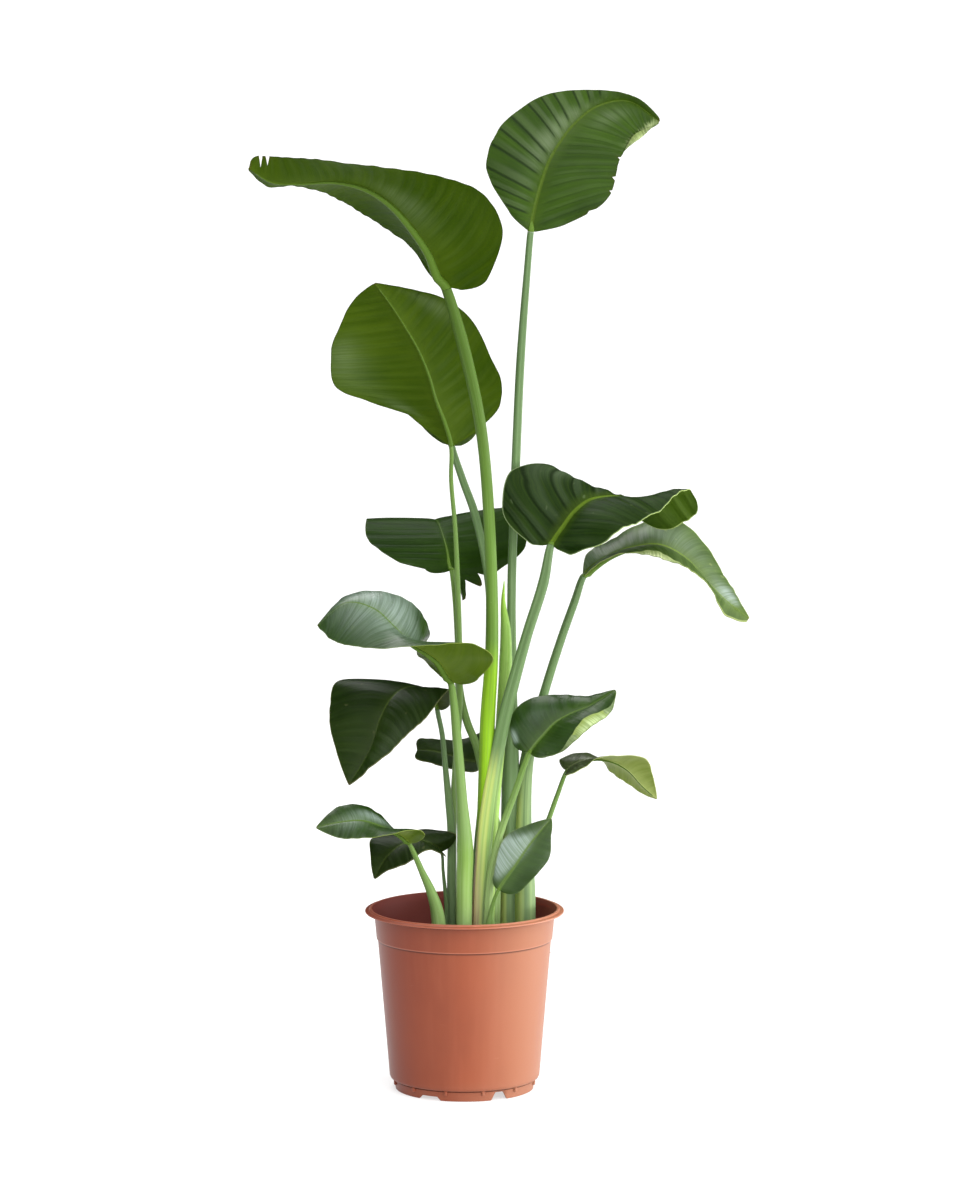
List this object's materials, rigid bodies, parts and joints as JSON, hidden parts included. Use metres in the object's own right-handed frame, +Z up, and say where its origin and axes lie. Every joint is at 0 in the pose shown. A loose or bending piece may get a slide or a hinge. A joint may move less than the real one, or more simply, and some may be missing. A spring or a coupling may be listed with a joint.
{
  "type": "potted bird of paradise plant",
  "caption": "Tall indoor plant with broad paddle-shaped leaves on long upright stalks, growing in a tapered plastic nursery pot.",
  "frame": {"origin": "middle of the flat pad on the pot's underside", "axes": "+Z up along the pot and the plant, -Y towards the front of the plant"},
  "size_m": [0.6002, 0.395, 1.2092],
  "materials": {
    "pot": "satin terracotta-coloured moulding",
    "soil": "dark crumbly bark and peat mix",
    "stem": "smooth waxy leaf stalk, grey-green to lime green",
    "blade": "leathery, half-gloss upper side and paler underside",
    "spear": "smooth young leaf, pale green"
  },
  "bodies": {
    "root": {"pot": "pot", "soil": "soil", "spear": "spear", "stem_top_left": "stem", "blade_top_left": "blade", "stem_top_right": "stem", "blade_top_right": "blade", "stem_upper_left": "stem", "blade_upper_left": "blade", "stem_upper_back": "stem", "blade_upper_back": "blade", "stem_middle_back": "stem", "blade_middle_back": "blade", "stem_middle_right": "stem", "blade_middle_right": "blade", "stem_drooping_right": "stem", "blade_drooping_right": "blade", "stem_middle_left": "stem", "blade_middle_left": "blade", "stem_hanging_left": "stem", "blade_hanging_left": "blade", "stem_lower_right": "stem", "blade_lower_right": "blade", "stem_inner_small": "stem", "blade_inner_small": "blade", "stem_small_right": "stem", "blade_small_right": "blade", "stem_front_low": "stem", "blade_front_low": "blade", "stem_low_left": "stem", "blade_low_left": "blade", "stem_low_back": "stem", "blade_low_back": "blade"}
  },
  "joints": []
}
